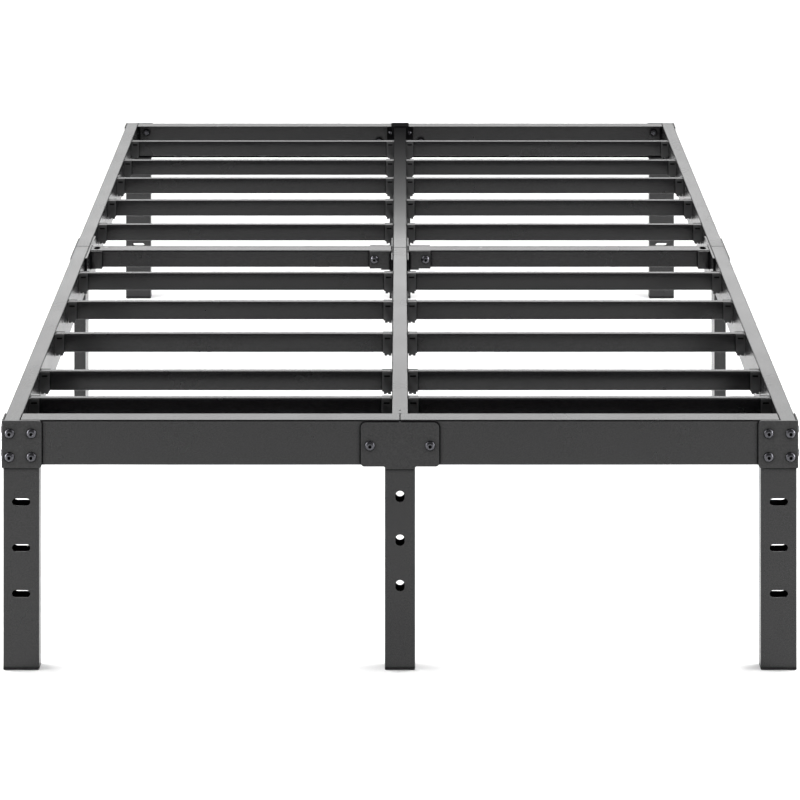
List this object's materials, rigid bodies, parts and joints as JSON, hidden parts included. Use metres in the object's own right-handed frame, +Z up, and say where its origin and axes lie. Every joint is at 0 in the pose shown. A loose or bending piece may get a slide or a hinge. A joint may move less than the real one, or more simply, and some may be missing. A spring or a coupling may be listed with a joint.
{
  "type": "metal platform bed frame",
  "caption": "Low open platform bed frame of black steel: box and channel rails on slotted tube legs, a centre beam and thin cross slats, all bolted together.",
  "frame": {"origin": "on the floor, at the centre of the frame", "axes": "+Z up; +Y towards the head end, so the foot end faces -Y; +X to the right when seen from the foot end"},
  "size_m": [1.533, 2.041, 0.4795],
  "materials": {
    "powder_coated_steel": "satin black powder coat",
    "black_nylon": "moulded black nylon",
    "foot_cap_plastic": "matt black plastic",
    "fastener_steel": "black oxide"
  },
  "bodies": {
    "root": {"beam_end_bracket_foot": "powder_coated_steel", "beam_end_bracket_head": "powder_coated_steel", "bolts": "fastener_steel", "centre_beam_front": "powder_coated_steel", "centre_beam_rear": "powder_coated_steel", "centre_cradle": "powder_coated_steel", "centre_leg": "powder_coated_steel", "corner_bracket_front_left": "powder_coated_steel", "corner_bracket_front_right": "powder_coated_steel", "corner_bracket_rear_left": "powder_coated_steel", "corner_bracket_rear_right": "powder_coated_steel", "corner_leg_front_left": "powder_coated_steel", "corner_leg_front_right": "powder_coated_steel", "corner_leg_rear_left": "powder_coated_steel", "corner_leg_rear_right": "powder_coated_steel", "cross_bar_left": "powder_coated_steel", "cross_bar_right": "powder_coated_steel", "foot_caps": "foot_cap_plastic", "foot_middle_leg": "powder_coated_steel", "foot_rail_left": "powder_coated_steel", "foot_rail_right": "powder_coated_steel", "head_middle_leg": "powder_coated_steel", "head_rail_left": "powder_coated_steel", "head_rail_right": "powder_coated_steel", "nuts": "fastener_steel", "side_middle_leg_left": "powder_coated_steel", "side_middle_leg_right": "powder_coated_steel", "side_rail_left_front": "powder_coated_steel", "side_rail_left_rear": "powder_coated_steel", "side_rail_right_front": "powder_coated_steel", "side_rail_right_rear": "powder_coated_steel", "side_rail_splice_left": "powder_coated_steel", "side_rail_splice_right": "powder_coated_steel", "slat_left_1": "powder_coated_steel", "slat_left_10": "powder_coated_steel", "slat_left_2": "powder_coated_steel", "slat_left_3": "powder_coated_steel", "slat_left_4": "powder_coated_steel", "slat_left_5": "powder_coated_steel", "slat_left_6": "powder_coated_steel", "slat_left_7": "powder_coated_steel", "slat_left_8": "powder_coated_steel", "slat_left_9": "powder_coated_steel", "slat_right_1": "powder_coated_steel", "slat_right_10": "powder_coated_steel", "slat_right_2": "powder_coated_steel", "slat_right_3": "powder_coated_steel", "slat_right_4": "powder_coated_steel", "slat_right_5": "powder_coated_steel", "slat_right_6": "powder_coated_steel", "slat_right_7": "powder_coated_steel", "slat_right_8": "powder_coated_steel", "slat_right_9": "powder_coated_steel", "slat_shoes_centre": "black_nylon", "slat_shoes_side": "black_nylon", "t_bracket_foot": "powder_coated_steel", "t_bracket_head": "powder_coated_steel", "t_bracket_left": "powder_coated_steel", "t_bracket_right": "powder_coated_steel"}
  },
  "joints": []
}
